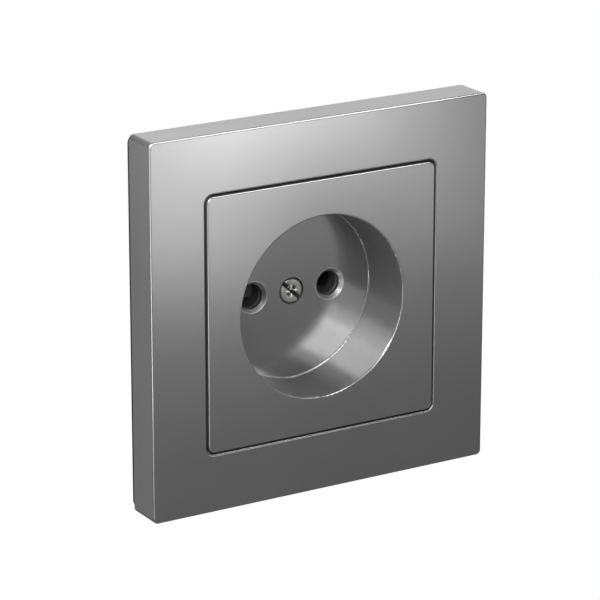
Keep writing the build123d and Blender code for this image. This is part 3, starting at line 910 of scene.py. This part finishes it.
class SetStage(bpy.types.Operator):
    """Lay the floor, put up the backdrop, hang the lamps and set up the camera"""

    bl_idname = "wall_socket.set_stage"
    bl_label = "Stage"

    def execute(self, context):
        settings = context.scene.wall_socket.studio
        context.scene.view_settings.view_transform = "Standard"
        self.lay_floor(settings)
        self.put_up_backdrop(settings)
        self.light_world(context.scene, settings)
        if not settings.lamps:
            self.stock_lamps(settings)
        for lamp in settings.lamps:
            self.hang_lamp(lamp)
        self.set_camera(context.scene, settings)
        return {"FINISHED"}

    def paper(self, finish, colour):
        mottle = finish.noise(finish.place(), size=PAPER_MOTTLE)
        tone = finish.tint(mottle, shade(colour, 0.98), colour)
        return finish.node("ShaderNodeBsdfDiffuse", None, {"Color": tone})

    def lay_floor(self, settings):
        start_piece()
        bpy.ops.mesh.primitive_plane_add(size=FLOOR_SIZE, location=(0, 0, -settings.floor_drop))
        floor = bpy.context.object
        floor.name = "studio_floor"
        seat_piece(floor)
        material, finish = new_finish("pale_floor")
        paper = self.paper(finish, settings.floor_colour)
        finish.node("ShaderNodeOutputMaterial", None, {"Surface": paper})
        floor.data.materials.append(material)

    def put_up_backdrop(self, settings):
        start_piece()
        middle = Vector(settings.backdrop_place)
        bpy.ops.mesh.primitive_plane_add(size=1)
        backdrop = bpy.context.object
        backdrop.name = "studio_backdrop"
        backdrop.scale = (*settings.backdrop_size, 1)
        backdrop.rotation_euler = (-middle).to_track_quat("Z", "Y").to_euler()
        backdrop.location = middle
        seat_piece(backdrop)
        material, finish = new_finish("white_backdrop")
        reach = finish.length(finish.place(shift=tuple(-middle)))
        width = settings.backdrop_size[0]
        lit = finish.fade(reach, *(share * width for share in BACKDROP_FADE))
        camera, glossy, transmission = (
            finish.node("ShaderNodeLightPath", output=f"Is {kind} Ray")
            for kind in ("Camera", "Glossy", "Transmission")
        )
        white = finish.node("ShaderNodeEmission", None, {"Color": WHITE, "Strength": 1.0})
        rays = camera + glossy + transmission
        seen = finish.node("ShaderNodeMath", {"operation": "MINIMUM"}, {0: rays, 1: 1.0})
        paper = self.paper(finish, settings.floor_colour)
        mixed = finish.node("ShaderNodeMixShader", None, {0: seen * lit, 1: paper, 2: white})
        finish.node("ShaderNodeOutputMaterial", None, {"Surface": mixed})
        backdrop.data.materials.append(material)

    def light_world(self, scene, settings):
        world = bpy.data.worlds.new("studio_world")
        scene.world = world
        finish = Finish(world)
        even = {"Color": WHITE, "Strength": settings.fill}
        fill = finish.node("ShaderNodeBackground", None, even)
        finish.node("ShaderNodeOutputWorld", None, {"Surface": fill})

    def stock_lamps(self, settings):
        for name, place, aim, size, roll, power in LAMPS:
            lamp = settings.lamps.add()
            lamp.name = name
            lamp.place, lamp.aim, lamp.size, lamp.power = place, aim, size, power
            lamp.roll = radians(roll)

    def hang_lamp(self, settings):
        start_piece()
        place = Vector(settings.place)
        bpy.ops.object.light_add(type="AREA", location=place)
        lamp = bpy.context.object
        lamp.name = settings.name
        lamp.data.shape = "RECTANGLE"
        lamp.data.size, lamp.data.size_y = settings.size
        lamp.data.energy = settings.power
        facing = (Vector(settings.aim) - place).to_track_quat("-Z", "Y")
        lamp.rotation_euler = (facing @ Quaternion((0, 0, 1), settings.roll)).to_euler()
        lamp.visible_camera = False

    def set_camera(self, scene, settings):
        start_piece()
        bpy.ops.object.camera_add(location=settings.camera_place, rotation=settings.camera_turn)
        camera = bpy.context.object
        camera.data.sensor_fit = "HORIZONTAL"
        camera.data.sensor_width = SENSOR_WIDTH
        camera.data.lens = settings.lens
        camera.data.clip_start = NEAREST_SEEN
        scene.camera = camera


class WallSocketPanel(bpy.types.Panel):
    """Lists the steps of the wall socket and their settings"""

    bl_idname = "VIEW3D_PT_wall_socket"
    bl_label = "Wall Socket"
    bl_space_type = "VIEW_3D"
    bl_region_type = "UI"
    bl_category = "Wall Socket"

    def draw(self, context):
        settings = context.scene.wall_socket
        for step in STEPS:
            self.layout.operator(step.bl_idname)
        for part in settings.__annotations__:
            group = getattr(settings, part)
            box = self.layout.box()
            for name in group.__annotations__:
                if name != "lamps":
                    box.prop(group, name)
        for lamp in settings.studio.lamps:
            box = self.layout.box()
            box.label(text=lamp.name)
            for name in lamp.__annotations__:
                box.prop(lamp, name)


STEPS = (DressCovers, DressHousing, DressContacts, DressFixings, MakeScrews, SetStage)
CLASSES = (
    CoverSettings,
    HousingSettings,
    MetalSettings,
    ScrewSettings,
    LampSettings,
    StudioSettings,
    WallSocketSettings,
    *STEPS,
    WallSocketPanel,
)


def register():
    for each in CLASSES:
        bpy.utils.register_class(each)
    bpy.types.Scene.wall_socket = PointerProperty(type=WallSocketSettings)


def unregister():
    del bpy.types.Scene.wall_socket
    for each in reversed(CLASSES):
        bpy.utils.unregister_class(each)


def main():
    register()
    bpy.ops.wall_socket.dress_covers()
    bpy.ops.wall_socket.dress_housing()
    bpy.ops.wall_socket.dress_contacts()
    bpy.ops.wall_socket.dress_fixings()
    bpy.ops.wall_socket.make_screws()
    bpy.ops.wall_socket.set_stage()


if __name__ == "__main__":
    main()
